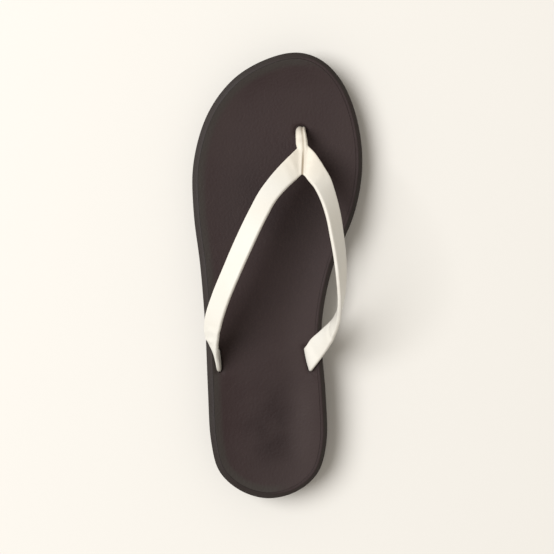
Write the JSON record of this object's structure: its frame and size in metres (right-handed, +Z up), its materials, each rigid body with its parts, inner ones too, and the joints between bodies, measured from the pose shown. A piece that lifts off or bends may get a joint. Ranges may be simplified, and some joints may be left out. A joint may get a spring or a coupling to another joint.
{
  "type": "thong sandal",
  "caption": "Left-foot thong sandal: contoured moulded sole with arch and toe spring, recessed insole, and flat straps mitred together into a toe post.",
  "frame": {"origin": "on the floor, in the middle of the sandal's length and width", "axes": "+X towards the inner (medial) side of the left foot, +Y from heel to toe, +Z up"},
  "size_m": [0.096, 0.25, 0.0519],
  "materials": {
    "sole": "matte dark brown moulded foam",
    "footbed": "matte dark brown foam with a fine grain",
    "strap": "smooth cream leather with a low sheen"
  },
  "bodies": {
    "root": {"sole": "sole", "insole": "footbed", "upper": "strap"}
  },
  "joints": []
}
